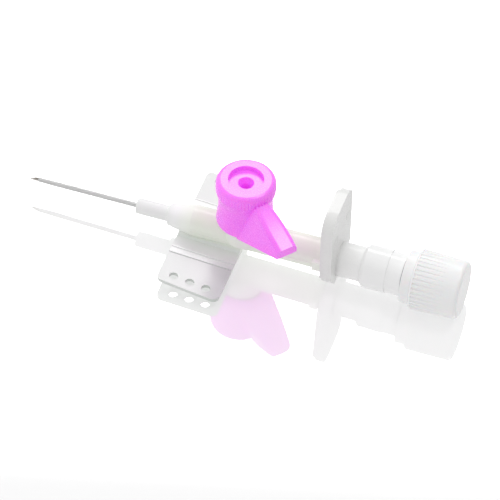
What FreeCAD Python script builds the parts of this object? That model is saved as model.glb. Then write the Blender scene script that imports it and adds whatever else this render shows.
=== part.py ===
import FreeCAD, Part
import math
import os
import re
import Sketcher

# Winged intravenous cannula with an injection port, 20 gauge, its introducer needle and stopper in place.
# Stations run along the needle's axis from the face of the nose towards the stopper.
# Heights are above that axis.
# The frame's origin is on the table, under the middle of the whole length; the needle points along -X.

ORIGIN = FreeCAD.Vector(0, 0, 0)
ALONG_Z = FreeCAD.Vector(0, 0, 1)

doc = FreeCAD.newDocument("iv_cannula")
sheet = doc.addObject("Spreadsheet::Sheet", "sizes")

SIZES = [
    # catheter
    ("catheter_reach", 22.8, "nose face to catheter tip"),
    ("catheter_outer_r", 0.55, "outside radius of a 20 gauge catheter"),
    ("catheter_inner_r", 0.43, "inside radius"),
    ("catheter_taper", 3.0, "length of the tapered tip"),
    ("catheter_tip_wall", 0.04, "wall at the very tip"),
    ("flare_station", 1.4, "where the catheter's root starts to flare"),
    ("flare_length", 2.2, "length of the flare"),
    ("flare_outer_r", 0.98, "outside radius of the flared end"),
    # ferrule
    ("ferrule_setback", 0.6, "flare start to the ferrule's front edge"),
    ("ferrule_wall", 0.11, "sheet thickness of the ferrule"),
    ("ferrule_collar", 1.4, "length of the ferrule behind the flare"),
    ("seat_gap", 0.01, "gap between pieces pressed or bonded together"),
    # catheter hub
    ("nose_r", 1.77, "nose radius"),
    ("nose_length", 7.4, "nose length"),
    ("nose_round", 0.45, "rounding of the nose's front edge"),
    ("shoulder_r", 2.5, "radius just behind the nose"),
    ("shoulder_length", 5.6, "length over which the shoulder widens to the barrel"),
    ("barrel_r", 3.4, "barrel radius"),
    ("hub_length", 43.2, "nose face to the barrel's open end"),
    ("flow_bore_r", 1.3, "bore behind the ferrule"),
    ("main_bore_station", 14.0, "where the bore widens"),
    ("luer_mouth_r", 2.155, "female Luer radius at its mouth"),
    ("luer_taper", 0.03, "Luer cone, radius per length (6 percent on diameter)"),
    ("luer_depth", 9.0, "depth of the Luer cone"),
    ("luer_fit", 0.035, "radial gap of a male Luer cone in a female one"),
    ("lug_r", 4.2, "radius over the Luer lugs"),
    ("lug_half_width", 1.5, "half width of a Luer lug"),
    ("lug_length", 1.8, "length of a Luer lug"),
    ("lug_setback", 0.3, "barrel end to the lug"),
    ("lug_root", 0.8, "how deep a lug is rooted, share of its barrel's radius"),
    ("lug_face", 0.75, "width of a lug's face, share of its width"),
    # wings
    ("wing_station", 10.3, "wing front edge"),
    ("wing_chord", 14.2, "wing length along the axis"),
    ("wing_half_front", 16.8, "axis to wing tip at the front edge"),
    ("wing_half_rear", 18.0, "axis to wing tip at the rear edge"),
    ("wing_thickness", 0.8, "wing thickness"),
    ("wing_web_y", 2.3, "where the web under the barrel starts, sideways"),
    ("wing_web_drop", 2.0, "where the web starts, below the axis"),
    ("wing_root_y", 3.2, "where the web meets the wing, sideways"),
    ("wing_root_drop_front", 2.4, "wing's upper face below the axis, at the root of the front edge"),
    ("wing_root_drop_rear", 3.4, "the same at the rear edge"),
    ("wing_tip_drop_front", 2.1, "wing's upper face below the axis, at the tip of the front edge"),
    ("wing_tip_drop_rear", 3.1, "the same at the rear edge"),
    ("wing_corner_round", 1.5, "rounding of the wing corners"),
    ("wing_hole_r", 1.0, "hole radius"),
    ("wing_hole_margin", 2.3, "hole centre to the wing's outer edge"),
    ("wing_hole_pitch", 3.75, "hole spacing along the wing"),
    ("wing_rib_inner_y", 6.5, "inner fine rib along the wing, sideways"),
    ("wing_rib_outer_y", 8.2, "outer fine rib"),
    ("wing_rib_width", 0.3, "half width of a rib's foot"),
    ("wing_rib_crest", 0.15, "half width of its crest"),
    ("wing_rib_height", 0.2, "rib height"),
    # port
    ("port_station", 24.6, "port axis"),
    ("tower_r", 3.35, "port tower radius"),
    ("tower_top", 13.6, "tower top above the axis"),
    ("tower_bead", 0.25, "how far the tower's snap bead stands out"),
    ("tower_bead_high", 0.5, "tower top to the bead's upper edge"),
    ("tower_bead_low", 0.75, "tower top to the bead's lower edge"),
    ("pedestal_r", 4.6, "radius of the tower's foot"),
    ("pedestal_top", 4.9, "top of the tower's foot above the axis"),
    ("port_luer_depth", 7.5, "depth of the port's Luer cone"),
    ("port_hole_r", 1.2, "hole from the port into the barrel"),
    # port valve
    ("valve_front", 20.4, "valve front station"),
    ("valve_length", 8.6, "valve length"),
    ("valve_wall", 0.55, "valve wall"),
    ("valve_gap", 0.015, "radial gap of the valve in the bore"),
    # port cap
    ("cap_top", 16.8, "cap top above the axis"),
    ("cap_top_r", 5.45, "radius of the flat top ring"),
    ("rim_r", 6.45, "rim radius"),
    ("rim_high", 15.7, "upper end of the rim"),
    ("rim_low", 14.0, "lower end of the rim"),
    ("rim_bulge", 0.2, "how much larger the arc over the rim is than its height"),
    ("rim_rib_r", 0.2, "radius of a groove between two rim ribs"),
    ("rim_rib_count", 56, "grooves around the rim"),
    ("waist_r", 5.85, "waist radius of the skirt"),
    ("waist_high", 11.6, "upper end of the waist"),
    ("waist_low", 9.0, "lower end of the waist"),
    ("skirt_r", 6.25, "skirt radius at its lower edge"),
    ("skirt_bottom", 4.5, "lower edge of the skirt above the axis"),
    ("skirt_edge_round", 0.9, "rounding of the skirt's lower edge"),
    ("skirt_wall", 0.95, "skirt wall"),
    ("roof_thickness", 1.1, "roof thickness under the recess"),
    ("recess_r", 3.85, "radius of the recess in the top"),
    ("recess_depth", 1.2, "depth of that recess"),
    ("well_r", 1.75, "radius of the hollow plug's mouth"),
    ("well_floor_r", 1.05, "radius of the hollow plug's floor"),
    ("well_draft", 0.1, "widening of the plug's bore up to its funnel"),
    ("well_neck", 1.4, "depth of the plug's funnel mouth"),
    ("plug_depth", 5.0, "how far the plug reaches into the tower"),
    ("plug_floor", 0.9, "thickness of the plug's closed end"),
    ("tail_turn", 40, "turn of the tail from the needle's axis, degrees"),
    ("tail_reach", 16.9, "port axis to the tail's tip"),
    ("tail_root", 4.0, "port axis to the tail's buried root"),
    ("tail_middle", 11.5, "port axis to the tail's widest section"),
    ("tail_root_top", 15.3, "top of the tail at its root"),
    ("tail_middle_top", 13.1, "top of the tail at its middle"),
    ("tail_tip_top", 10.9, "top of the tail at its tip"),
    ("tail_root_half", 1.4, "half width of the tail's top at its root"),
    ("tail_middle_half", 2.4, "half width of the tail's top at its middle"),
    ("tail_tip_half", 2.4, "half width of the tail's tip"),
    ("tail_root_foot", 4.6, "half width of the tail's foot at its root"),
    ("tail_middle_foot", 3.7, "half width of the tail's foot at its middle"),
    ("tail_edge_round", 1.1, "rounding of the tail's upper edges"),
    ("tail_middle_bottom", 7.5, "underside of the tail at its middle"),
    ("tail_tip_bottom", 8.8, "underside of the tail at its tip"),
    # needle
    ("needle_reach", 24.7, "nose face to needle point"),
    ("needle_outer_r", 0.39, "needle outside radius"),
    ("needle_bore_r", 0.27, "needle bore radius"),
    ("bevel_length", 1.9, "length of the bevelled point"),
    ("needle_tail", 1.6, "how far the needle reaches into the flash chamber"),
    # needle hub
    ("cone_insert", 8.0, "how far the male cone reaches into the barrel"),
    ("mouth_gap", 0.3, "barrel end to the grip"),
    ("panel_thickness", 0.7, "raised panel on the grip's front"),
    ("panel_inset", 0.45, "grip's outline to the panel's, at the sides and the top"),
    ("grip_thickness", 2.0, "grip thickness"),
    ("grip_half_width", 6.9, "half width of the grip"),
    ("grip_bottom", -0.4, "lower edge of the grip's sides above the axis"),
    ("grip_shoulder", 13.6, "grip shoulder above the axis"),
    ("grip_top", 16.8, "grip top above the axis"),
    ("grip_top_half", 3.0, "half width of the grip's flat top"),
    ("grip_shoulder_round", 4.6, "radius of the grip's shoulders"),
    ("grip_foot_half", 4.0, "half width of the grip below the barrel"),
    ("grip_foot", -3.9, "lower end of the grip's foot above the axis"),
    ("chamber_r", 3.86, "flash chamber radius"),
    ("chamber_length", 8.5, "grip to the flash chamber's rear end"),
    ("chamber_bore_r", 2.9, "flash chamber bore"),
    ("chamber_floor", 0.8, "grip's rear face to the chamber's floor"),
    # vent fitting
    ("fitting_lap", 3.3, "length of the flash chamber held in the fitting"),
    ("fitting_r", 4.75, "fitting radius"),
    ("fitting_chamfer", 0.7, "chamfer at the fitting's front"),
    ("fitting_front_length", 5.8, "length of the wider front part"),
    ("fitting_step_r", 4.55, "radius behind that"),
    ("fitting_length", 9.2, "fitting length up to its tail"),
    ("fitting_socket_gap", 0.04, "radial gap of the chamber in the fitting"),
    ("tail_tube_r", 3.2, "radius of the fitting's Luer tail"),
    ("tail_tube_length", 6.4, "length of that tail"),
    ("tail_luer_depth", 7.5, "depth of its Luer cone"),
    ("tail_lug_r", 3.85, "radius over its lugs"),
    ("vent_hole_r", 0.8, "vent hole radius"),
    # filter
    ("filter_r", 2.6, "filter radius"),
    ("filter_thickness", 0.7, "filter thickness"),
    ("filter_gap", 0.05, "gap around the filter"),
    # stopper
    ("collar_gap", 0.3, "fitting to the stopper's collar"),
    ("collar_r", 5.75, "collar radius"),
    ("collar_length", 2.2, "collar length"),
    ("stopper_front_r", 6.6, "stopper radius behind the collar"),
    ("stopper_rear_r", 6.35, "stopper radius at its rear"),
    ("stopper_length", 10.6, "length behind the collar"),
    ("stopper_edge_round", 0.9, "rounding of the rear edge"),
    ("stopper_lead_round", 0.5, "rounding behind the collar"),
    ("stopper_wall", 1.8, "closed rear wall"),
    ("socket_r", 4.2, "radius of the stopper's socket"),
    ("flute_count", 40, "grooves around the stopper"),
    ("flute_r", 0.3, "groove radius"),
    ("flute_depth", 0.22, "groove depth"),
    ("flute_rear", 1.9, "plain band behind the grooves"),
    ("stopper_plug_length", 11.6, "male plug from the rear wall"),
]

# Stations and heights that follow from the sizes above.
DERIVED = [
    ("flare_end", "=flare_station + flare_length", "rear end of the catheter's flare"),
    ("flare_wall", "=catheter_outer_r - catheter_inner_r", "wall of the flare"),
    ("flare_inner_r", "=flare_outer_r - flare_wall", "inside radius of the flared end"),
    ("flare_slope", "=(flare_outer_r - catheter_outer_r) / flare_length", "slope of the flare"),
    ("ferrule_front", "=flare_station + ferrule_setback", "front edge of the ferrule"),
    ("ferrule_front_r", "=catheter_inner_r + ferrule_setback * flare_slope - seat_gap", "its radius there"),
    ("ferrule_end", "=flare_end + ferrule_collar", "rear end of the ferrule"),
    ("shoulder_end", "=nose_length + shoulder_length", "start of the full barrel"),
    ("main_bore_r", "=luer_mouth_r - luer_taper * luer_depth", "bore in front of the Luer cone"),
    ("wing_end", "=wing_station + wing_chord", "wing rear edge"),
    ("wing_middle", "=wing_station + wing_chord / 2", "middle of the wings"),
    ("wing_flare", "=(wing_half_rear - wing_half_front) / wing_chord", "widening of the wings to the rear"),
    ("wing_hole_y", "=(wing_half_front + wing_half_rear) / 2 - wing_hole_margin", "axis to the middle hole"),
    ("cone_front", "=hub_length - cone_insert", "front end of the male cone"),
    ("panel_front", "=hub_length + mouth_gap", "front of the grip's panel"),
    ("grip_front", "=panel_front + panel_thickness", "front of the grip"),
    ("grip_rear", "=grip_front + grip_thickness", "rear of the grip"),
    ("chamber_end", "=grip_rear + chamber_length", "rear end of the flash chamber"),
    ("fitting_front", "=chamber_end - fitting_lap", "front of the vent fitting"),
    ("filter_front", "=chamber_end + seat_gap", "front of the filter"),
    ("filter_seat", "=filter_front + filter_thickness + seat_gap", "seat behind the filter"),
    ("fitting_rear", "=fitting_front + fitting_length", "shoulder of the vent fitting"),
    ("tail_end", "=fitting_rear + tail_tube_length", "mouth of the fitting's Luer tail"),
    ("collar_front", "=fitting_rear + collar_gap", "front of the stopper"),
    ("stopper_front", "=collar_front + collar_length", "front of the stopper's grooved part"),
    ("stopper_end", "=stopper_front + stopper_length", "rear face of the stopper"),
    ("middle_station", "=(stopper_end - needle_reach) / 2", "middle of the whole length"),
    ("axis_height", "=stopper_front_r", "axis above the table: the stopper lies on it"),
    ("recess_floor", "=cap_top - recess_depth", "floor of the cap's recess"),
    ("roof_under", "=recess_floor - roof_thickness", "underside of the cap's roof"),
    ("plug_end", "=tower_top - plug_depth", "lower end of the cap's plug"),
    ("rim_arc_r", "=cap_top - rim_high + rim_bulge", "radius of the arc over the rim"),
    ("skirt_inner_r", "=waist_r - skirt_wall", "inside radius of the skirt"),
]

for row, (alias, value, note) in enumerate(SIZES + DERIVED, start=1):
    sheet.set(f"A{row}", alias)
    sheet.set(f"B{row}", str(value))
    sheet.setAlias(f"B{row}", alias)
    sheet.set(f"C{row}", note)
doc.recompute()


def bound(text):
    """Expression with each size's name written as its cell in the sheet."""
    return re.sub(r"[a-z_]+", lambda word: "sizes." + word.group(), text)


def number(text):
    """Value of an expression of the sheet's sizes."""
    result = sheet.evalExpression(bound(text))
    return float(getattr(result, "Value", result))


def new_body(label, turn="0", station="0"):
    """An empty body whose own X runs along the needle's axis, or is turned about an upright line."""
    body = doc.addObject("PartDesign::Body", label)
    body.Label = label
    body.Placement = FreeCAD.Placement(ORIGIN, FreeCAD.Rotation(-ALONG_Z, 1))
    body.setExpression("Placement.Rotation.Angle", bound(turn))
    body.setExpression("Placement.Base.x", bound(f"{station} - middle_station"))
    body.setExpression("Placement.Base.z", bound("axis_height"))
    return body


def origin_item(body, role):
    """A plane or axis of the body's own origin."""
    return [item for item in body.Origin.OriginFeatures if item.Role == role][0]


def new_sketch(body, name, plane, across="0", up="0", out="0"):
    """A sketch on an origin plane, moved by expressions in its own two directions and along its normal."""
    sketch = body.newObject("Sketcher::SketchObject", name)
    sketch.AttachmentSupport = [(origin_item(body, plane), "")]
    sketch.MapMode = "FlatFace"
    sketch.setExpression("AttachmentOffset.Base.x", bound(across))
    sketch.setExpression("AttachmentOffset.Base.y", bound(up))
    sketch.setExpression("AttachmentOffset.Base.z", bound(out))
    return sketch


def bind(sketch, kind, *where, to):
    """A dimension of the sketch that follows an expression."""
    index = sketch.addConstraint(Sketcher.Constraint(kind, *where, number(to)))
    sketch.setExpression(f"Constraints[{index}]", bound(to))


def arc_between(start, end, radius):
    """The short arc from start to end; a positive radius turns left, a negative one right."""
    size = abs(radius)
    chord = end - start
    half = chord.Length / 2
    left = FreeCAD.Vector(-chord.y, chord.x, 0).normalize()
    reach = math.sqrt(max(size * size - half * half, 0))
    centre = start + chord / 2 + left * (reach if radius > 0 else -reach)
    first, last = (start, end) if radius > 0 else (end, start)
    angles = [math.atan2(point.y - centre.y, point.x - centre.x) for point in (first, last)]
    if angles[1] < angles[0]:
        angles[1] += 2 * math.pi
    return Part.ArcOfCircle(Part.Circle(centre, ALONG_Z, size), *angles)


def outline(sketch, corners):
    """A closed outline. A corner is (x, y), or (x, y, radius) where an arc leaves it; all are expressions.

    A radius with a leading minus turns right, one without turns left."""
    points = [FreeCAD.Vector(number(corner[0]), number(corner[1]), 0) for corner in corners]
    ends = []
    for i, corner in enumerate(corners):
        start = points[i]
        end = points[(i + 1) % len(points)]
        if len(corner) == 2:
            edge = sketch.addGeometry(Part.LineSegment(start, end), False)
            ends.append((edge, 1, 2))
            continue
        edge = sketch.addGeometry(arc_between(start, end, number(corner[2])), False)
        ends.append((edge, 2, 1) if corner[2].startswith("-") else (edge, 1, 2))
    for i, (edge, start, end) in enumerate(ends):
        next_edge, next_start, _ = ends[(i + 1) % len(ends)]
        sketch.addConstraint(Sketcher.Constraint("Coincident", edge, end, next_edge, next_start))
    for (edge, start, end), corner in zip(ends, corners):
        bind(sketch, "DistanceX", -1, 1, edge, start, to=corner[0])
        bind(sketch, "DistanceY", -1, 1, edge, start, to=corner[1])
        if len(corner) == 3:
            bind(sketch, "Radius", edge, to=corner[2].lstrip("-"))


def circle(sketch, x, y, radius):
    """A circle whose centre and radius are expressions."""
    centre = FreeCAD.Vector(number(x), number(y), 0)
    edge = sketch.addGeometry(Part.Circle(centre, ALONG_Z, number(radius)), False)
    bind(sketch, "DistanceX", -1, 1, edge, 3, to=x)
    bind(sketch, "DistanceY", -1, 1, edge, 3, to=y)
    bind(sketch, "Radius", edge, to=radius)


def turned(body, name, corners, kind="Revolution", about="H_Axis", across="0"):
    """Turn an outline of the XZ plane about the needle's axis, or about an upright line of the sketch."""
    sketch = new_sketch(body, name + "_outline", "XZ_Plane", across=across)
    outline(sketch, corners)
    feature = body.newObject("PartDesign::" + kind, name)
    feature.Profile = sketch
    feature.ReferenceAxis = (sketch, [about])
    feature.Angle = 360
    return feature


def padded(body, name, corners, length, out="0"):
    """Pad an upright outline along the needle's axis."""
    sketch = new_sketch(body, name + "_outline", "YZ_Plane", out=out)
    outline(sketch, corners)
    pad = body.newObject("PartDesign::Pad", name)
    pad.Profile = sketch
    pad.setExpression("Length", bound(length))


def lofted(body, name, sections):
    """Loft between upright sections, each given as its place along the body's X and its corners."""
    sketches = []
    for i, (out, corners) in enumerate(sections, start=1):
        sketch = new_sketch(body, f"{name}_section_{i}", "YZ_Plane", out=out)
        outline(sketch, corners)
        sketches.append(sketch)
    loft = body.newObject("PartDesign::AdditiveLoft", name)
    loft.Profile = sketches[0]
    loft.Sections = sketches[1:]
    return loft


def tube(body, name, start, length, outer, inner):
    """A straight tube along the needle's axis."""
    sketch = new_sketch(body, name + "_outline", "YZ_Plane", out=start)
    circle(sketch, "0", "0", outer)
    circle(sketch, "0", "0", inner)
    pad = body.newObject("PartDesign::Pad", name)
    pad.Profile = sketch
    pad.setExpression("Length", bound(length))


def pocketed(body, name, sketch, length):
    """Cut a sketch into the body, against its plane's normal, for a length given as an expression."""
    pocket = body.newObject("PartDesign::Pocket", name)
    pocket.Profile = sketch
    pocket.setExpression("Length", bound(length))
    return pocket


def repeated(body, name, feature, axis, count):
    """Repeat a feature around an axis of the body's origin."""
    pattern = body.newObject("PartDesign::PolarPattern", name)
    pattern.Originals = [feature]
    pattern.Axis = (origin_item(body, axis), [""])
    pattern.Angle = 360
    pattern.setExpression("Occurrences", bound(count))
    body.Tip = pattern


def lugs(body, name, inner, outer, half_width, start, length):
    """The two ears of a Luer lock, on both sides of a barrel."""
    for side, sign in (("left", ""), ("right", "-")):
        corners = [
            (f"{sign}1 * {inner}", f"-{half_width}"),
            (f"{sign}1 * {outer}", f"-{half_width} * lug_face"),
            (f"{sign}1 * {outer}", f"{half_width} * lug_face"),
            (f"{sign}1 * {inner}", half_width),
        ]
        padded(body, f"{name}_{side}", corners, length, out=start)


def make_catheter_tube():
    body = new_body("catheter_tube")
    turned(body, "catheter_wall", [
        ("-catheter_reach", "catheter_inner_r"),
        ("-catheter_reach", "catheter_inner_r + catheter_tip_wall"),
        ("catheter_taper - catheter_reach", "catheter_outer_r"),
        ("flare_station", "catheter_outer_r"),
        ("flare_end", "flare_outer_r"),
        ("flare_end", "flare_inner_r"),
        ("flare_station", "catheter_inner_r"),
    ])
    return body


def make_ferrule():
    """A steel funnel inside the catheter's flare, with a collar that is pressed into the nose."""
    body = new_body("ferrule")
    turned(body, "ferrule_wall_turned", [
        ("ferrule_front", "ferrule_front_r - ferrule_wall"),
        ("ferrule_front", "ferrule_front_r"),
        ("flare_end + seat_gap", "flare_inner_r - seat_gap"),
        ("flare_end + seat_gap", "flare_outer_r"),
        ("ferrule_end", "flare_outer_r"),
        ("ferrule_end", "flare_outer_r - ferrule_wall"),
        ("flare_end + 2 * seat_gap + ferrule_wall", "flare_outer_r - ferrule_wall"),
        ("flare_end + seat_gap", "flare_inner_r - seat_gap - ferrule_wall"),
    ])
    return body


def wing_section(end):
    """Both wings and the web under the barrel, cut at the front or rear edge, in (sideways, height)."""
    right = [
        ("wing_web_y", "-wing_web_drop"),
        ("wing_root_y", f"-wing_root_drop_{end}"),
        (f"wing_half_{end}", f"-wing_tip_drop_{end}"),
        (f"wing_half_{end}", f"-wing_tip_drop_{end} - wing_thickness"),
        ("wing_root_y", f"-wing_root_drop_{end} - wing_thickness"),
    ]
    left = [(f"-1 * ({y})", z) for y, z in reversed(right)]
    return right + left


def rib_section(end, sign, rib_y):
    """Section of a fine rib on one wing's upper face, at the front or rear edge."""
    slope = f"(wing_root_drop_{end} - wing_tip_drop_{end}) / (wing_half_{end} - wing_root_y)"
    face = f"({rib_y} - wing_root_y) * {slope} - wing_root_drop_{end}"
    return [
        (f"{sign}1 * ({rib_y} - wing_rib_width)", f"{face} - wing_rib_height"),
        (f"{sign}1 * ({rib_y} + wing_rib_width)", f"{face} - wing_rib_height"),
        (f"{sign}1 * ({rib_y} + wing_rib_crest)", f"{face} + wing_rib_height"),
        (f"{sign}1 * ({rib_y} - wing_rib_crest)", f"{face} + wing_rib_height"),
    ]


def wing_corner(sketch, end, sign, station, inward, outward):
    """The waste outside one rounded corner of the wings, seen from above."""
    root = f"{sign}1 * (wing_half_{end} - wing_corner_round)"
    tip = f"{sign}1 * (wing_half_{end} {inward} wing_corner_round * wing_flare)"
    beyond = f"{sign}1 * (wing_half_{end} + wing_corner_round)"
    turn = "-" if (end == "front") == (sign == "") else ""
    outline(sketch, [
        (f"{station} {outward} wing_corner_round", root),
        (station, root, turn + "wing_corner_round"),
        (f"{station} {inward} wing_corner_round", tip),
        (f"{station} {inward} wing_corner_round", beyond),
        (f"{station} {outward} wing_corner_round", beyond),
    ])


def make_catheter_hub():
    """Nose, barrel, wings and port tower, moulded as one piece; the wings are pitched, lower at the rear."""
    body = new_body("catheter_hub")
    ends = (("front", "wing_station"), ("rear", "wing_end"))
    lofted(body, "wings", [(station, wing_section(end)) for end, station in ends])
    waste = new_sketch(body, "wing_corner_outlines", "XY_Plane")
    for sign in ("", "-"):
        wing_corner(waste, "front", sign, "wing_station", "+", "-")
        wing_corner(waste, "rear", sign, "wing_end", "-", "+")
    pocketed(body, "wing_corners", waste, "axis_height")
    for side, sign in (("left", ""), ("right", "-")):
        for row in ("inner", "outer"):
            lofted(body, f"wing_rib_{row}_{side}",
                   [(station, rib_section(end, sign, f"wing_rib_{row}_y")) for end, station in ends])
    turned(body, "barrel", [
        ("0", "0"),
        ("0", "nose_r - nose_round", "-nose_round"),
        ("nose_round", "nose_r"),
        ("nose_length", "nose_r"),
        ("nose_length", "shoulder_r - nose_round", "-nose_round"),
        ("nose_length + nose_round", "shoulder_r"),
        ("shoulder_end", "barrel_r"),
        ("hub_length", "barrel_r"),
        ("hub_length", "0"),
    ])
    turned(body, "tower", [
        ("0", "0"),
        ("pedestal_r", "0"),
        ("pedestal_r", "pedestal_top"),
        ("tower_r", "pedestal_top"),
        ("tower_r", "tower_top - tower_bead_low - tower_bead"),
        ("tower_r + tower_bead", "tower_top - tower_bead_low"),
        ("tower_r + tower_bead", "tower_top - tower_bead_high"),
        ("tower_r", "tower_top"),
        ("0", "tower_top"),
    ], about="V_Axis", across="port_station")
    lugs(body, "luer_lug", "barrel_r * lug_root", "lug_r", "lug_half_width",
         "hub_length - lug_setback - lug_length", "lug_length")
    turned(body, "bore", [
        ("-nose_round", "0"),
        ("-nose_round", "catheter_outer_r + seat_gap"),
        ("flare_station", "catheter_outer_r + seat_gap"),
        ("flare_end", "flare_outer_r + seat_gap"),
        ("ferrule_end", "flare_outer_r + seat_gap"),
        ("ferrule_end", "flow_bore_r"),
        ("main_bore_station", "flow_bore_r"),
        ("main_bore_station", "main_bore_r"),
        ("hub_length - luer_depth", "main_bore_r"),
        ("hub_length", "luer_mouth_r"),
        ("hub_length + mouth_gap", "luer_mouth_r + luer_taper * mouth_gap"),
        ("hub_length + mouth_gap", "0"),
    ], kind="Groove")
    turned(body, "port_bore", [
        ("0", "0"),
        ("port_hole_r", "0"),
        ("port_hole_r", "tower_top - port_luer_depth"),
        ("luer_mouth_r - luer_taper * port_luer_depth", "tower_top - port_luer_depth"),
        ("luer_mouth_r", "tower_top"),
        ("luer_mouth_r + luer_taper * mouth_gap", "tower_top + mouth_gap"),
        ("0", "tower_top + mouth_gap"),
    ], kind="Groove", about="V_Axis", across="port_station")
    holes = new_sketch(body, "wing_hole_circles", "XY_Plane")
    for place in (-1, 0, 1):
        for side in (-1, 1):
            circle(holes, f"wing_middle + {place} * wing_hole_pitch",
                   f"{side} * (wing_hole_y + {place} * wing_hole_pitch * wing_flare)", "wing_hole_r")
    pocketed(body, "wing_holes", holes, "axis_height")
    return body


def make_port_valve():
    """A soft sleeve that covers the port's hole from inside the barrel."""
    body = new_body("port_valve")
    tube(body, "valve_sleeve", "valve_front", "valve_length", "main_bore_r - valve_gap",
         "main_bore_r - valve_gap - valve_wall")
    return body


def tail_section(top_half, foot_half, top, bottom):
    """Upright section across the tail of the port cap, with rounded upper edges."""
    return [
        (f"-{foot_half}", bottom),
        (foot_half, bottom),
        (top_half, f"{top} - tail_edge_round", "tail_edge_round"),
        (f"{top_half} - tail_edge_round", top),
        (f"tail_edge_round - {top_half}", top, "tail_edge_round"),
        (f"-{top_half}", f"{top} - tail_edge_round"),
    ]


def make_port_cap():
    """The cap in its own frame: the port's axis is upright, and the tail points along its X."""
    body = new_body("port_cap", turn="tail_turn", station="port_station")
    turned(body, "cap_outside", [
        ("0", "skirt_bottom"),
        ("skirt_r - skirt_edge_round", "skirt_bottom", "skirt_edge_round"),
        ("skirt_r", "skirt_bottom + skirt_edge_round"),
        ("waist_r", "waist_low"),
        ("waist_r", "waist_high"),
        ("rim_r", "rim_low"),
        ("rim_r", "rim_high", "rim_arc_r"),
        ("cap_top_r", "cap_top"),
        ("0", "cap_top"),
    ], about="V_Axis")
    root = tail_section("tail_root_half", "tail_root_foot", "tail_root_top", "skirt_bottom")
    middle = tail_section("tail_middle_half", "tail_middle_foot", "tail_middle_top", "tail_middle_bottom")
    tip = tail_section("tail_tip_half", "tail_tip_half", "tail_tip_top", "tail_tip_bottom")
    lofted(body, "tail", [("tail_root", root), ("tail_middle", middle), ("tail_reach", tip)])
    turned(body, "cap_inside", [
        ("0", "skirt_bottom - skirt_edge_round"),
        ("skirt_inner_r", "skirt_bottom - skirt_edge_round"),
        ("skirt_inner_r", "roof_under"),
        ("luer_mouth_r - luer_fit", "roof_under"),
        ("luer_mouth_r - luer_fit", "tower_top"),
        ("luer_mouth_r - luer_fit - luer_taper * plug_depth", "plug_end"),
        ("0", "plug_end"),
    ], kind="Groove", about="V_Axis")
    turned(body, "cap_recess", [
        ("0", "plug_end + plug_floor"),
        ("well_floor_r", "plug_end + plug_floor"),
        ("well_floor_r + well_draft", "recess_floor - well_neck"),
        ("well_r", "recess_floor"),
        ("recess_r", "recess_floor"),
        ("recess_r", "cap_top + recess_depth"),
        ("0", "cap_top + recess_depth"),
    ], kind="Groove", about="V_Axis")
    groove = new_sketch(body, "rim_groove_circle", "XY_Plane", out="cap_top")
    circle(groove, "-1 * (rim_r + rim_rib_r / 2)", "0", "rim_rib_r")
    first = pocketed(body, "rim_groove", groove, "cap_top - rim_low + rim_rib_r")
    repeated(body, "rim_grooves", first, "Z_Axis", "rim_rib_count")
    return body


def make_needle():
    body = new_body("needle")
    tube(body, "needle_tube", "-needle_reach", "needle_reach + grip_rear + needle_tail",
         "needle_outer_r", "needle_bore_r")
    bevel = new_sketch(body, "bevel_outline", "XZ_Plane")
    outline(bevel, [
        ("-needle_reach", "-needle_outer_r"),
        ("bevel_length - needle_reach", "needle_outer_r"),
        ("bevel_length - needle_reach", "2 * needle_outer_r"),
        ("-needle_reach - needle_outer_r", "2 * needle_outer_r"),
        ("-needle_reach - needle_outer_r", "-needle_outer_r"),
    ])
    cut = pocketed(body, "bevel", bevel, "4 * needle_outer_r")
    cut.Midplane = True
    return body


def grip_outline(half_width, top):
    """The thumb grip seen along the needle: a foot, straight sides and rounded shoulders."""
    return [
        ("-grip_foot_half", "grip_foot"),
        ("grip_foot_half", "grip_foot"),
        (half_width, "grip_bottom"),
        (half_width, "grip_shoulder", "grip_shoulder_round"),
        ("grip_top_half", top),
        ("-grip_top_half", top, "grip_shoulder_round"),
        (f"-1 * ({half_width})", "grip_shoulder"),
        (f"-1 * ({half_width})", "grip_bottom"),
    ]


def make_needle_hub():
    body = new_body("needle_hub")
    turned(body, "cone_and_chamber", [
        ("cone_front", "0"),
        ("cone_front", "luer_mouth_r - luer_fit - luer_taper * cone_insert"),
        ("hub_length", "luer_mouth_r - luer_fit"),
        ("panel_front", "luer_mouth_r - luer_fit"),
        ("panel_front", "chamber_r"),
        ("chamber_end", "chamber_r"),
        ("chamber_end", "0"),
    ])
    padded(body, "grip", grip_outline("grip_half_width", "grip_top"), "grip_thickness", out="grip_front")
    panel = grip_outline("grip_half_width - panel_inset", "grip_top - panel_inset")
    padded(body, "grip_panel", panel, "panel_thickness", out="panel_front")
    turned(body, "chamber_bore", [
        ("cone_front - mouth_gap", "0"),
        ("cone_front - mouth_gap", "needle_outer_r + seat_gap"),
        ("grip_rear + chamber_floor", "needle_outer_r + seat_gap"),
        ("grip_rear + chamber_floor", "chamber_bore_r"),
        ("chamber_end + mouth_gap", "chamber_bore_r"),
        ("chamber_end + mouth_gap", "0"),
    ], kind="Groove")
    return body


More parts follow.
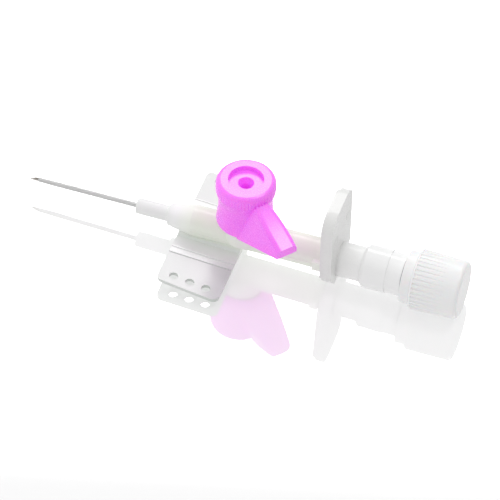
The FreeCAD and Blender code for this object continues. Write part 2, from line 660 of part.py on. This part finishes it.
def make_vent_fitting():
    """A clear fitting that holds the chamber's end and the filter, with a female Luer tail."""
    body = new_body("vent_fitting")
    turned(body, "fitting_outside", [
        ("fitting_front", "0"),
        ("fitting_front", "fitting_r - fitting_chamfer"),
        ("fitting_front + fitting_chamfer", "fitting_r"),
        ("fitting_front + fitting_front_length", "fitting_r"),
        ("fitting_front + fitting_front_length", "fitting_step_r"),
        ("fitting_rear", "fitting_step_r"),
        ("fitting_rear", "tail_tube_r"),
        ("tail_end", "tail_tube_r"),
        ("tail_end", "0"),
    ])
    lugs(body, "tail_lug", "tail_tube_r * lug_root", "tail_lug_r", "lug_half_width",
         "tail_end - lug_setback - lug_length", "lug_length")
    turned(body, "fitting_bore", [
        ("fitting_front - mouth_gap", "0"),
        ("fitting_front - mouth_gap", "chamber_r + fitting_socket_gap"),
        ("chamber_end", "chamber_r + fitting_socket_gap"),
        ("chamber_end", "filter_r + filter_gap"),
        ("filter_seat", "filter_r + filter_gap"),
        ("filter_seat", "vent_hole_r"),
        ("tail_end - tail_luer_depth", "vent_hole_r"),
        ("tail_end - tail_luer_depth", "luer_mouth_r - luer_taper * tail_luer_depth"),
        ("tail_end", "luer_mouth_r"),
        ("tail_end + mouth_gap", "luer_mouth_r + luer_taper * mouth_gap"),
        ("tail_end + mouth_gap", "0"),
    ], kind="Groove")
    return body


def make_filter_disc():
    disc = doc.addObject("Part::Cylinder", "filter_disc")
    disc.Label = "filter_disc"
    disc.Placement = FreeCAD.Placement(ORIGIN, FreeCAD.Rotation(FreeCAD.Vector(0, 1, 0), 90))
    disc.setExpression("Radius", bound("filter_r"))
    disc.setExpression("Height", bound("filter_thickness"))
    disc.setExpression("Placement.Base.x", bound("filter_front - middle_station"))
    disc.setExpression("Placement.Base.z", bound("axis_height"))
    return disc


def make_stopper():
    """The ribbed Luer-lock stopper: a collar, a grooved grip and a male plug inside its socket."""
    body = new_body("stopper")
    plug_r = "luer_mouth_r - luer_fit"
    turned(body, "stopper_outside", [
        ("collar_front", "0"),
        ("collar_front", "collar_r"),
        ("stopper_front", "collar_r"),
        ("stopper_front", "stopper_front_r - stopper_lead_round", "-stopper_lead_round"),
        ("stopper_front + stopper_lead_round", "stopper_front_r"),
        ("stopper_end - stopper_edge_round", "stopper_rear_r", "-stopper_edge_round"),
        ("stopper_end", "stopper_rear_r - stopper_edge_round"),
        ("stopper_end", "0"),
    ])
    turned(body, "stopper_socket", [
        ("collar_front - mouth_gap", "socket_r"),
        ("stopper_end - stopper_wall", "socket_r"),
        ("stopper_end - stopper_wall", plug_r),
        ("tail_end", plug_r),
        ("stopper_end - stopper_wall - stopper_plug_length",
         f"{plug_r} - luer_taper * (stopper_plug_length + stopper_wall + tail_end - stopper_end)"),
        ("stopper_end - stopper_wall - stopper_plug_length", "0"),
        ("collar_front - mouth_gap - stopper_plug_length", "0"),
        ("collar_front - mouth_gap - stopper_plug_length", "socket_r"),
    ], kind="Groove")
    flute = new_sketch(body, "flute_circle", "YZ_Plane", out="stopper_end - flute_rear")
    circle(flute, "0", "stopper_front_r + flute_r - flute_depth", "flute_r")
    first = pocketed(body, "flute", flute, "stopper_length - flute_rear - stopper_lead_round")
    repeated(body, "flutes", first, "X_Axis", "flute_count")
    return body


PIECES = [
    make_catheter_tube(), make_ferrule(), make_catheter_hub(), make_port_valve(), make_port_cap(),
    make_needle(), make_needle_hub(), make_vent_fitting(), make_filter_disc(), make_stopper(),
]

doc.recompute()
failed = [item.Name for item in doc.Objects if "Invalid" in item.State or "Error" in item.State]
if failed:
    raise RuntimeError("features that failed: " + ", ".join(failed))
for piece in PIECES:
    if piece.Shape.isNull() or not piece.Shape.isValid() or len(piece.Shape.Solids) != 1:
        raise RuntimeError(piece.Label + " is not one valid solid")

os.makedirs("parts", exist_ok=True)
for piece in PIECES:
    piece.Shape.exportStep(f"parts/{piece.Label}.step")
    box = piece.Shape.BoundBox
    print(f"{piece.Label:14s} volume {piece.Shape.Volume:8.2f}  x {box.XMin:7.2f} {box.XMax:7.2f}"
          f"  y {box.YMin:7.2f} {box.YMax:7.2f}  z {box.ZMin:7.2f} {box.ZMax:7.2f}")
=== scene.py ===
import math
from collections import namedtuple

import bpy
from mathutils import Matrix, Vector


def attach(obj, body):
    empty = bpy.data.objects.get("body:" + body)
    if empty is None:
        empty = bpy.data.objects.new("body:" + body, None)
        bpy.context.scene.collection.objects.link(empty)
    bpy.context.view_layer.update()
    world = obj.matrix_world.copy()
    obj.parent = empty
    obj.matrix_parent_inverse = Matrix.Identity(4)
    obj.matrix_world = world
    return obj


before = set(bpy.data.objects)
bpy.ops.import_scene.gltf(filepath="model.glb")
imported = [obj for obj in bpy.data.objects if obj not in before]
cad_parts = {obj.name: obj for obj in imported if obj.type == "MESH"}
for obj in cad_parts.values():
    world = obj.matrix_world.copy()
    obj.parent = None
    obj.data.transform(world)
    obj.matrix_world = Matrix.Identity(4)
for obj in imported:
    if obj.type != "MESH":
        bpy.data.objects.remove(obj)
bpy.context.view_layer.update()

scene = bpy.context.scene

# Places are given as in the part's source: millimetres along the needle's axis from the front of the nose,
# to the side, and above the axis.
MM = 0.001
AXIS_HEIGHT = 6.6 * MM
MIDDLE_STATION = 24.5
ALONG_AXIS = Vector((1, 0, 0))
UPRIGHT = Vector((0, 0, 1))


def at(station, y=0.0, height=0.0):
    """The point of the scene at a station, a distance to the side and a height above the axis."""
    return Vector(((station - MIDDLE_STATION) * MM, y * MM, height * MM + AXIS_HEIGHT))


# Camera, with the photograph's direction, roll and distance
AZIMUTH = math.radians(18.0)
ELEVATION = math.radians(47.0)
ROLL = math.radians(1.353)
LENS = 268.6
SENSOR_WIDTH = 36.0
NEAREST = 0.01
FARTHEST = 20.0
TARGET = Vector((5.5, 0.0, 6.0)) * MM
SIDEWAYS = -3.967 * MM
UPWARDS = -1.894 * MM
DISTANCE = 800.13 * MM


def make_camera():
    """The scene's camera, looking along the photograph's line of sight and rolled like it."""
    back = Vector((math.sin(AZIMUTH) * math.cos(ELEVATION), -math.cos(AZIMUTH) * math.cos(ELEVATION),
                   math.sin(ELEVATION)))
    level_right = Vector((math.cos(AZIMUTH), math.sin(AZIMUTH), 0.0))
    level_up = back.cross(level_right)
    right = level_right * math.cos(ROLL) + level_up * math.sin(ROLL)
    up = level_up * math.cos(ROLL) - level_right * math.sin(ROLL)
    place = TARGET + level_right * SIDEWAYS + level_up * UPWARDS + back * DISTANCE
    data = bpy.data.cameras.new("camera")
    data.lens = LENS
    data.sensor_width = SENSOR_WIDTH
    data.clip_start = NEAREST
    data.clip_end = FARTHEST
    camera = bpy.data.objects.new("camera", data)
    scene.collection.objects.link(camera)
    camera.matrix_world = Matrix((
        (right.x, up.x, back.x, place.x),
        (right.y, up.y, back.y, place.y),
        (right.z, up.z, back.z, place.z),
        (0, 0, 0, 1),
    ))
    return camera


scene.camera = make_camera()
scene.view_settings.view_transform = "Standard"


# Building blocks of the materials
FIRST_COLOUR = 6
SECOND_COLOUR = 7
MIXED_COLOUR = 2
NOISE_SHIFT = Vector((1.0, 2.3, 5.1))


class Tree:
    """A small helper round a material's or world's node tree."""

    def __init__(self, owner):
        owner.use_nodes = True
        self.nodes = owner.node_tree.nodes
        self.links = owner.node_tree.links
        self.nodes.clear()

    def add(self, kind):
        return self.nodes.new("ShaderNode" + kind)

    def link(self, source, target):
        self.links.new(source, target)

    def math(self, operation, *values):
        node = self.add("Math")
        node.operation = operation
        for socket, value in zip(node.inputs, values):
            if hasattr(value, "is_linked"):
                self.link(value, socket)
            else:
                socket.default_value = value
        return node.outputs[0]

    def noise(self, scale, detail, seed=0.0, stretch=(1, 1, 1)):
        """Object-space noise in features per metre, stretched along the axes."""
        place = self.add("TexCoord")
        mapping = self.add("Mapping")
        mapping.inputs["Scale"].default_value = [scale * share for share in stretch]
        mapping.inputs["Location"].default_value = NOISE_SHIFT * seed
        self.link(place.outputs["Object"], mapping.inputs["Vector"])
        texture = self.add("TexNoise")
        texture.inputs["Scale"].default_value = 1.0
        texture.inputs["Detail"].default_value = detail
        self.link(mapping.outputs["Vector"], texture.inputs["Vector"])
        return texture.outputs["Fac"]

    def ramp(self, value, span, result=(0.0, 1.0)):
        """Runs from the first to the second result while the value runs over the span."""
        node = self.add("MapRange")
        node.clamp = True
        self.link(value, node.inputs["Value"])
        node.inputs["From Min"].default_value, node.inputs["From Max"].default_value = span
        node.inputs["To Min"].default_value, node.inputs["To Max"].default_value = result
        return node.outputs["Result"]

    def mix(self, factor, first, second):
        """A blend of two colours, each a colour socket or three numbers."""
        node = self.add("Mix")
        node.data_type = "RGBA"
        self.link(factor, node.inputs["Factor"])
        for socket, value in ((node.inputs[FIRST_COLOUR], first), (node.inputs[SECOND_COLOUR], second)):
            if hasattr(value, "is_linked"):
                self.link(value, socket)
            else:
                socket.default_value = (*value, 1.0)
        return node.outputs[MIXED_COLOUR]


# A box of the part: its stations, distances to either side, heights above the axis and soft edge, in mm
Zone = namedtuple("Zone", "stations spread heights soft")


def inside_zone(tree, zone):
    """1 inside the zone and 0 outside it."""
    place = tree.add("TexCoord")
    parts = tree.add("SeparateXYZ")
    tree.link(place.outputs["Object"], parts.inputs[0])
    station = tree.math("MULTIPLY_ADD", parts.outputs["X"], 1 / MM, MIDDLE_STATION)
    side = tree.math("ABSOLUTE", tree.math("DIVIDE", parts.outputs["Y"], MM))
    height = tree.math("DIVIDE", tree.math("SUBTRACT", parts.outputs["Z"], AXIS_HEIGHT), MM)
    inside = None
    for value, (low, high) in ((station, zone.stations), (side, zone.spread), (height, zone.heights)):
        rise = tree.ramp(value, (low - zone.soft, low + zone.soft))
        fall = tree.ramp(value, (high - zone.soft, high + zone.soft), (1.0, 0.0))
        both = tree.math("MULTIPLY", rise, fall)
        inside = tree.math("MULTIPLY", inside, both) if inside else both
    return inside


CLOUDS_PER_METRE = 220.0
CLOUD_SPAN = (0.35, 0.65)
GRAIN_SPAN = (0.3, 0.7)
GRAIN_SEED = 3.0
GRAIN_DEPTH = 0.1 * MM
DULLEST = 1.15
GLOSSIEST = 0.85


def plastic(name, colour, shade, roughness, grain, bump=0.02, zones=(), clearer=None, **constants):
    """A moulded plastic: two close colours in soft clouds, roughness that varies and a fine surface grain.

    zones are parts of the piece with a colour of their own, as (zone, colour).
    clearer is a part that lets another share of the light through, as (zone, share)."""
    material = bpy.data.materials.new(name)
    tree = Tree(material)
    shader = tree.add("BsdfPrincipled")
    out = tree.add("OutputMaterial")
    tree.link(shader.outputs[0], out.inputs["Surface"])
    clouds = tree.noise(CLOUDS_PER_METRE, 2.0)
    skin = tree.mix(tree.ramp(clouds, CLOUD_SPAN), colour, shade)
    for zone, tint in zones:
        skin = tree.mix(inside_zone(tree, zone), skin, tint)
    tree.link(skin, shader.inputs["Base Color"])
    fine = tree.noise(grain, 4.0, seed=GRAIN_SEED)
    tree.link(tree.ramp(fine, GRAIN_SPAN, (roughness * GLOSSIEST, roughness * DULLEST)),
              shader.inputs["Roughness"])
    relief = tree.add("Bump")
    relief.inputs["Strength"].default_value = bump
    relief.inputs["Distance"].default_value = GRAIN_DEPTH
    tree.link(fine, relief.inputs["Height"])
    tree.link(relief.outputs[0], shader.inputs["Normal"])
    for socket, value in constants.items():
        shader.inputs[socket.replace("_", " ")].default_value = value
    if clearer:
        zone, share = clearer
        base = shader.inputs["Transmission Weight"].default_value
        tree.link(tree.math("MULTIPLY_ADD", inside_zone(tree, zone), share - base, base),
                  shader.inputs["Transmission Weight"])
    return material


RING_STRETCH = (1.0, 0.02, 0.02)
RING_SHADE = 0.8
RING_DULLEST = 1.3
RING_GLOSSIEST = 0.7


def steel(name, colour, roughness, rings):
    """Ground stainless steel with fine grinding rings round the needle's axis."""
    material = bpy.data.materials.new(name)
    tree = Tree(material)
    shader = tree.add("BsdfPrincipled")
    out = tree.add("OutputMaterial")
    tree.link(shader.outputs[0], out.inputs["Surface"])
    shader.inputs["Metallic"].default_value = 1.0
    lines = tree.noise(rings, 3.0, stretch=RING_STRETCH)
    shade = [part * RING_SHADE for part in colour]
    tree.link(tree.mix(tree.ramp(lines, GRAIN_SPAN), colour, shade), shader.inputs["Base Color"])
    tree.link(tree.ramp(lines, GRAIN_SPAN, (roughness * RING_GLOSSIEST, roughness * RING_DULLEST)),
              shader.inputs["Roughness"])
    return material


# Catheter tube: a clear film
film = plastic("catheter_film", (0.97, 0.97, 0.97), (0.95, 0.95, 0.95), 0.12, 9000,
               Transmission_Weight=0.50, IOR=1.34)

# Hub: one frosted moulding, a little clearer in the nose, greenish on the barrel, greyer on the wings;
# the wing's hinge band carries a painted reflection of the barrel and its rear a painted reflection of the
# cap
NOSE = Zone(stations=(-2.0, 8.0), spread=(-9.0, 4.0), heights=(-4.0, 4.0), soft=1.0)
BARREL = Zone(stations=(12.0, 60.0), spread=(-9.0, 4.6), heights=(-3.6, 20.0), soft=2.5)
WING_PANEL = Zone(stations=(9.0, 26.0), spread=(8.2, 20.0), heights=(-6.0, -1.6), soft=0.15)
# Painted reflection: the hinge band is greyed where the barrel would reflect in the wing
WING_HINGE_PAINTED_REFLECTION = Zone(stations=(9.0, 26.0), spread=(2.6, 8.2), heights=(-6.0, -2.2), soft=0.30)
# Painted reflection: the wing's rear is darkened where the dark cap would reflect in it
WING_REAR_PAINTED_CAP_REFLECTION = Zone(stations=(20.5, 26.0), spread=(8.4, 20.0), heights=(-6.0, -2.2), soft=2.2)
HUB_ZONES = (
    (BARREL, (0.93, 1.0, 0.85)),
    (WING_PANEL, (0.74, 0.77, 0.74)),
    (WING_HINGE_PAINTED_REFLECTION, (0.90, 0.94, 0.90)),
    (WING_REAR_PAINTED_CAP_REFLECTION, (0.64, 0.69, 0.645)),
)
frosted = plastic("frosted_hub", (0.985, 0.99, 0.985), (0.975, 0.985, 0.975), 0.24, 6000, zones=HUB_ZONES,
                  clearer=(NOSE, 0.12), Transmission_Weight=0.05, IOR=1.49)

# Needle hub: a milky grip, with the flash chamber behind it painted whiter to lift the shade the grip
# casts on it
# Painted light: the chamber's colour is raised against the shade it gets behind the grip
CHAMBER_PAINTED_LIGHT = Zone(stations=(46.8, 60.0), spread=(-9.0, 4.3), heights=(-4.3, 4.3), soft=0.5)
grip_plastic = plastic("frosted_grip", (0.87, 0.87, 0.86), (0.85, 0.85, 0.84), 0.30, 6000,
                       zones=((CHAMBER_PAINTED_LIGHT, (0.99, 0.99, 0.985)),), Transmission_Weight=0.06, IOR=1.49)

# Port valve: honey-coloured silicone
silicone = plastic("valve_silicone", (0.90, 0.78, 0.66), (0.87, 0.74, 0.62), 0.45, 5000)

# Port cap: bright pink polyolefin that lets a little light through, with a faint painted glow that lifts
# its shaded hollows
pink = plastic("cap_pink", (0.97, 0.21, 0.98), (0.95, 0.19, 0.97), 0.26, 5000, bump=0.03,
               Subsurface_Weight=0.25, Subsurface_Scale=MM, Specular_IOR_Level=0.85,
               # Painted light: a faint pink glow of its own, though the cap is no lamp
               Emission_Color=(0.95, 0.12, 0.97, 1.0), Emission_Strength=0.09)

# Vent fitting, vent filter and stopper: glossy clear, porous white and satin white
clear = plastic("clear_plastic", (1.0, 1.0, 1.0), (0.99, 0.99, 0.99), 0.12, 4000,
                Transmission_Weight=0.06, IOR=1.50)
filter_white = plastic("filter_white", (0.95, 0.95, 0.95), (0.88, 0.88, 0.88), 0.8, 9000, bump=0.3)
stopper_white = plastic("stopper_white", (0.97, 0.97, 0.975), (0.96, 0.96, 0.965), 0.24, 6000,
                        Transmission_Weight=0.05, IOR=1.49, Subsurface_Weight=0.1, Subsurface_Scale=MM)

# Needle and ferrule
needle_steel = steel("needle_steel", (0.50, 0.47, 0.44), 0.22, 14000)

DRESS = {
    "catheter_tube": film,
    "ferrule": needle_steel,
    "needle": needle_steel,
    "catheter_hub": frosted,
    "port_valve": silicone,
    "port_cap": pink,
    "needle_hub": grip_plastic,
    "vent_fitting": clear,
    "filter_disc": filter_white,
    "stopper": stopper_white,
}
for node_name, node_material in DRESS.items():
    for material_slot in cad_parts[node_name].material_slots:
        material_slot.material = node_material


# Fine moulding marks that the solids leave out
def new_piece(name, vertices, faces, material, body, slot):
    """A smooth-shaded mesh of points in metres that rides on a body."""
    mesh = bpy.data.meshes.new(name)
    mesh.from_pydata(vertices, [], faces)
    mesh.materials.append(material)
    mesh.polygons.foreach_set("use_smooth", [True] * len(mesh.polygons))
    piece = bpy.data.objects.new(name, mesh)
    scene.collection.objects.link(piece)
    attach(piece, body)


def ring_faces(rings, across, start):
    """The side faces between rings of points that follow one another; the two ends stay open."""
    faces = []
    for ring in range(rings - 1):
        for k in range(across):
            near = start + ring * across + k
            beside = start + ring * across + (k + 1) % across
            faces.append([near, beside, beside + across, near + across])
    return faces


def seam_run(first, last, side, start):
    """A low half-round ridge along one side of the barrel; its height fades at both ends."""
    across = SEAM_POINTS + 1
    stations = (first, first + SEAM_FADE, last - SEAM_FADE, last)
    vertices = []
    for station, rise in zip(stations, (0.0, 1.0, 1.0, 0.0)):
        for k in range(across):
            turn = math.pi * k / SEAM_POINTS
            out = BARREL_RADIUS - SEAM_SUNK + (SEAM_SUNK + SEAM_HEIGHT * rise) * math.sin(turn)
            vertices.append(at(station, side * out, SEAM_HALF_WIDTH * math.cos(turn)))
    faces = ring_faces(len(stations), across, start)
    faces.append([start + k for k in range(across)])
    faces.append([start + len(vertices) - 1 - k for k in range(across)])
    return vertices, faces


def turned_mark(centre, axis, profile, start):
    """A low round mark: its profile, as (radius, height) in mm, turned about an axis at a centre."""
    first = axis.orthogonal().normalized()
    second = axis.cross(first)
    vertices = []
    for radius, height in profile:
        for k in range(MARK_SIDES):
            turn = 2 * math.pi * k / MARK_SIDES
            spoke = first * math.cos(turn) + second * math.sin(turn)
            vertices.append(centre + (spoke * radius + axis * height) * MM)
    faces = ring_faces(len(profile), MARK_SIDES, start)
    faces.append([start + MARK_SIDES - 1 - k for k in range(MARK_SIDES)])
    faces.append([start + len(vertices) - MARK_SIDES + k for k in range(MARK_SIDES)])
    return vertices, faces


def join_marks(make, places):
    """Several like marks as one mesh."""
    vertices = []
    faces = []
    for place in places:
        more_vertices, more_faces = make(*place, len(vertices))
        vertices += more_vertices
        faces += more_faces
    return vertices, faces


# Parting line of the hub's mould, along both sides of the barrel
BARREL_RADIUS = 3.4
SEAM_HEIGHT = 0.12
SEAM_HALF_WIDTH = 0.16
SEAM_SUNK = 0.05
SEAM_FADE = 0.6
SEAM_POINTS = 8
SEAM_RUNS = ((13.2, 19.8), (29.4, 40.8))
seams = [(*run, side) for run in SEAM_RUNS for side in (-1, 1)]
new_piece("barrel_seams", *join_marks(seam_run, seams), frosted, "catheter", "hub_plastic")

# Two ejector pin marks on the grip's rear face
MARK_SIDES = 40
GRIP_REAR = 46.2
PIN_SPREAD = 3.9
PIN_HEIGHT = 9.6
PIN_PROFILE = ((1.10, -0.05), (1.10, 0.03), (1.06, 0.06), (0.95, 0.06), (0.90, 0.03))
pins = [(at(GRIP_REAR, side * PIN_SPREAD, PIN_HEIGHT), ALONG_AXIS, PIN_PROFILE) for side in (-1, 1)]
new_piece("grip_pin_marks", *join_marks(turned_mark, pins), grip_plastic, "needle_unit", "grip_plastic")

# Gate nub at the bottom of the cap's hollow plug
PORT_STATION = 24.6
PLUG_FLOOR = 9.5
NUB_PROFILE = ((0.42, -0.05), (0.42, 0.12), (0.36, 0.22), (0.22, 0.28), (0.08, 0.30))
nub = turned_mark(at(PORT_STATION, 0, PLUG_FLOOR), UPRIGHT, NUB_PROFILE, 0)
new_piece("cap_gate_nub", *nub, pink, "cap_unit", "cap_pink")

# Table: glossy and white. The needle's axis is level in the frame but points down a little in the photo,
# so the table slopes instead: it touches the lower edge of the stopper's wide part and rises towards the
# needle's point.
TABLE_HALF = 3.0
TABLE_SLOPE = math.tan(math.radians(1.2))
TOUCHING_X = at(63.6).x
TABLE_DIFFUSE = 0.50
TABLE_GLOW = 0.62
TABLE_WHITENING = 0.03
TABLE_MIRROR = 0.36
TABLE_ROUGHNESS = 0.03


def table_corner(x, y):
    """The point of the sloping table at x and y."""
    return x, y, (TOUCHING_X - x) * TABLE_SLOPE


def make_table_material():
    """White that glows a little more where the camera sees it, under a mirror-like gloss."""
    material = bpy.data.materials.new("table_white")
    tree = Tree(material)
    path = tree.add("LightPath")
    bent = tree.math("MAXIMUM", path.outputs["Is Glossy Ray"], path.outputs["Is Transmission Ray"])
    seen = tree.math("MAXIMUM", path.outputs["Is Camera Ray"], bent)
    diffuse = tree.add("BsdfDiffuse")
    diffuse.inputs["Color"].default_value = (TABLE_DIFFUSE, TABLE_DIFFUSE, TABLE_DIFFUSE, 1)
    glow = tree.add("Emission")
    tree.link(tree.math("MULTIPLY_ADD", seen, TABLE_WHITENING, TABLE_GLOW), glow.inputs["Strength"])
    matte = tree.add("AddShader")
    tree.link(diffuse.outputs[0], matte.inputs[0])
    tree.link(glow.outputs[0], matte.inputs[1])
    gloss = tree.add("BsdfGlossy")
    gloss.inputs["Roughness"].default_value = TABLE_ROUGHNESS
    surface = tree.add("MixShader")
    surface.inputs[0].default_value = TABLE_MIRROR
    tree.link(matte.outputs[0], surface.inputs[1])
    tree.link(gloss.outputs[0], surface.inputs[2])
    out = tree.add("OutputMaterial")
    tree.link(surface.outputs[0], out.inputs["Surface"])
    return material


table_corners = [
    table_corner(-TABLE_HALF, -TABLE_HALF),
    table_corner(TABLE_HALF, -TABLE_HALF),
    table_corner(TABLE_HALF, TABLE_HALF),
    table_corner(-TABLE_HALF, TABLE_HALF),
]
table_mesh = bpy.data.meshes.new("table")
table_mesh.from_pydata(table_corners, [], [(0, 1, 2, 3)])
table_mesh.materials.append(make_table_material())
table = bpy.data.objects.new("table", table_mesh)
scene.collection.objects.link(table)

# Surrounding: white. Matte surfaces get less light from the stopper's side than from the needle's, and
# glossy and clear ones see it a little dimmer behind the camera.
NEEDLE_SIDE_LIGHT = 1.15
STOPPER_SIDE_LIGHT = 0.42
SIDE_SPAN = (-0.2, 0.95)
BEHIND_CAMERA_LIGHT = 0.60
BEHIND_CAMERA_SPAN = (-0.75, 0.1)


def make_surrounding():
    """The world: white to the camera, plain light to matte surfaces and a soft sky to glossy ones."""
    world = bpy.data.worlds.new("studio")
    tree = Tree(world)
    path = tree.add("LightPath")
    direction = tree.add("TexCoord")
    parts = tree.add("SeparateXYZ")
    tree.link(direction.outputs["Generated"], parts.inputs[0])
    for_matte = tree.ramp(parts.outputs["X"], SIDE_SPAN, (NEEDLE_SIDE_LIGHT, STOPPER_SIDE_LIGHT))
    for_gloss = tree.ramp(parts.outputs["Y"], BEHIND_CAMERA_SPAN, (BEHIND_CAMERA_LIGHT, 1.0))
    bent = tree.math("MAXIMUM", path.outputs["Is Glossy Ray"], path.outputs["Is Transmission Ray"])
    light = tree.math("ADD", tree.math("MULTIPLY", bent, for_gloss),
                      tree.math("MULTIPLY", tree.math("SUBTRACT", 1.0, bent), for_matte))
    sky = tree.add("Background")
    tree.link(tree.math("MAXIMUM", light, path.outputs["Is Camera Ray"]), sky.inputs["Strength"])
    out = tree.add("OutputWorld")
    tree.link(sky.outputs[0], out.inputs["Surface"])
    return world


scene.world = make_surrounding()


# Lamps
def softbox(name, place, size, power):
    """A soft rectangular lamp that faces the object."""
    data = bpy.data.lights.new(name, "AREA")
    data.shape = "RECTANGLE"
    data.size, data.size_y = size
    data.energy = power
    lamp = bpy.data.objects.new(name, data)
    scene.collection.objects.link(lamp)
    lamp.location = place
    lamp.rotation_mode = "QUATERNION"
    lamp.rotation_quaternion = Vector(place).to_track_quat("Z", "Y")


softbox("back_softbox", place=(-0.175, 0.538, 0.607), size=(0.34, 0.22), power=1.15)
softbox("tail_softbox", place=(0.33, 0.146, 0.82), size=(0.22, 0.22), power=1.2)
